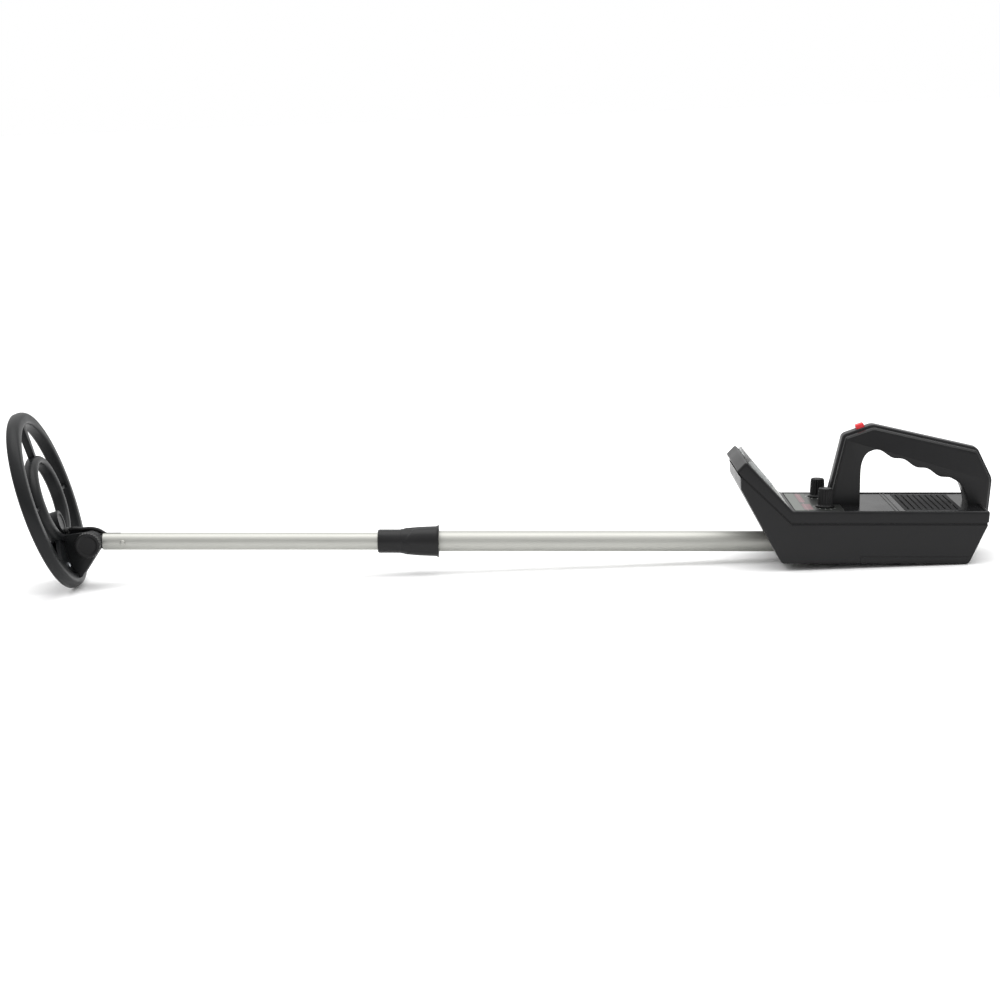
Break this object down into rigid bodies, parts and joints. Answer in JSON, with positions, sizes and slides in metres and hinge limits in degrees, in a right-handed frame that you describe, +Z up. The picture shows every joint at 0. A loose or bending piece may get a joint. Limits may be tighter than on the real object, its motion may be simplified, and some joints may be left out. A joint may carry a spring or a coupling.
{
  "type": "hand-held metal detector",
  "caption": "Hand-held metal detector with an open tilting search coil, two-part twist-lock stem, and a control box with analogue meter, knobs and D grip.",
  "frame": {"origin": "on the control box's flat floor, centred across it, ahead of the battery door", "axes": "+X along the stem from the search coil towards the control box, +Y across, to the right hand of the user who faces the coil, +Z up out of the control panel"},
  "size_m": [1.06, 0.1992, 0.1906],
  "materials": {
    "black_case": "fine moulded satin, black",
    "black_grip": "matt black, lightly textured",
    "black_knob": "satin black, fluted",
    "coil_plastic": "satin dark grey-black",
    "aluminium": "satin anodised",
    "steel": "zinc plated",
    "clear_lens": "clear moulded acrylic",
    "meter_white": "white",
    "label_print": "printed foil, grey with pale red and green lines",
    "red_button": "red",
    "lead_rubber": "matt black",
    "nylon": "natural nylon",
    "copper_wire": "enamelled copper wire",
    "circuit_board": "green solder mask",
    "cone_paper": "pressed black paper",
    "ferrite": "dark ferrite",
    "battery_wrap": "plain dark wrap"
  },
  "bodies": {
    "control_box": {"lower_case": "black_case", "upper_case": "black_case", "handle_spine": "black_grip", "tube_strap": "steel", "strap_screw_1": "steel", "strap_screw_2": "steel", "case_screw_1": "steel", "case_screw_2": "steel", "case_screw_3": "steel", "case_screw_4": "steel", "panel_label": "label_print", "speaker_grille": "black_grip", "speaker_frame": "steel", "speaker_cone": "cone_paper", "speaker_magnet": "ferrite", "circuit_board": "circuit_board", "left_potentiometer": "steel", "right_potentiometer": "steel", "meter_lens": "clear_lens", "meter_cover": "meter_white", "meter_body": "black_case", "dial_face": "meter_white", "meter_magnet": "steel", "button_switch": "black_case", "button_spring": "steel", "left_battery": "battery_wrap", "right_battery": "battery_wrap", "left_battery_snap": "black_grip", "right_battery_snap": "black_grip", "upper_tube": "aluminium", "clamp_ferrule": "black_case", "box_lead": "lead_rubber", "coiled_lead": "lead_rubber"},
    "battery_door": {"battery_door": "black_case"},
    "left_knob": {"left_knob": "black_knob", "left_knob_shaft": "aluminium"},
    "right_knob": {"right_knob": "black_knob", "right_knob_shaft": "aluminium"},
    "push_button": {"push_button": "red_button"},
    "needle": {"meter_needle": "red_button", "moving_coil": "copper_wire"},
    "collet": {"lock_collet": "nylon"},
    "lock_nut": {"lock_nut": "black_grip"},
    "lower_stem": {"lower_tube": "aluminium", "stem_tip": "black_case", "tip_rivet": "steel", "stem_bush": "nylon", "friction_washer_1": "lead_rubber", "friction_washer_2": "lead_rubber", "stem_lead": "lead_rubber"},
    "coil": {"coil_upper_shell": "coil_plastic", "coil_lower_cover": "coil_plastic", "transmit_winding": "copper_wire", "receive_winding": "copper_wire", "coil_screw_1": "steel", "coil_screw_2": "steel", "lead_gland": "lead_rubber", "hinge_bolt": "nylon", "coil_lead": "lead_rubber"},
    "thumb_knob": {"thumb_knob": "black_knob"}
  },
  "joints": [
    {"name": "stem_slide", "type": "slide", "parent": "control_box", "child": "lower_stem", "axis": [1, 0, 0], "range_m": [0, 0.26], "deforming": ["coiled_lead"]},
    {"name": "coil_tilt", "type": "hinge", "parent": "lower_stem", "child": "coil", "pos_m": [-0.7895, 0, 0.013], "axis": [0, 1, 0], "range_deg": [-65, 55], "deforming": ["coil_lead"]},
    {"name": "thumb_knob_turn", "type": "hinge", "parent": "coil", "child": "thumb_knob", "pos_m": [-0.7895, 0, 0.013], "axis": [0, 1, 0], "range_deg": [0, 360]},
    {"name": "collet_slide", "type": "slide", "parent": "control_box", "child": "collet", "axis": [-1, 0, 0], "range_m": [0, 0.0011]},
    {"name": "lock_nut_turn", "type": "hinge", "parent": "control_box", "child": "lock_nut", "pos_m": [-0.44, 0, 0.013], "axis": [1, 0, 0], "range_deg": [0, 120]},
    {"name": "left_knob_turn", "type": "hinge", "parent": "control_box", "child": "left_knob", "pos_m": [0.005, -0.031, 0.057], "axis": [0, 0, 1], "range_deg": [-140, 140]},
    {"name": "right_knob_turn", "type": "hinge", "parent": "control_box", "child": "right_knob", "pos_m": [0.005, 0.031, 0.057], "axis": [0, 0, 1], "range_deg": [-140, 140]},
    {"name": "button_press", "type": "slide", "parent": "control_box", "child": "push_button", "axis": [0.3339, 0, -0.9426], "range_m": [0, 0.0022], "stiffness_N_per_m": 600, "deforming": ["button_spring"]},
    {"name": "needle_swing", "type": "hinge", "parent": "control_box", "child": "needle", "pos_m": [-0.05184, 0, 0.07578], "axis": [-0.737, 0, -0.6759], "range_deg": [0, 80], "stiffness_Nm_per_rad": 0.0005},
    {"name": "door_slide", "type": "slide", "parent": "control_box", "child": "battery_door", "axis": [1, 0, 0], "range_m": [0, 0.125]}
  ],
  "couplings": [
    {"joint": "collet_slide", "follows": "lock_nut_turn", "m_per_rad": 0.00047746}
  ]
}
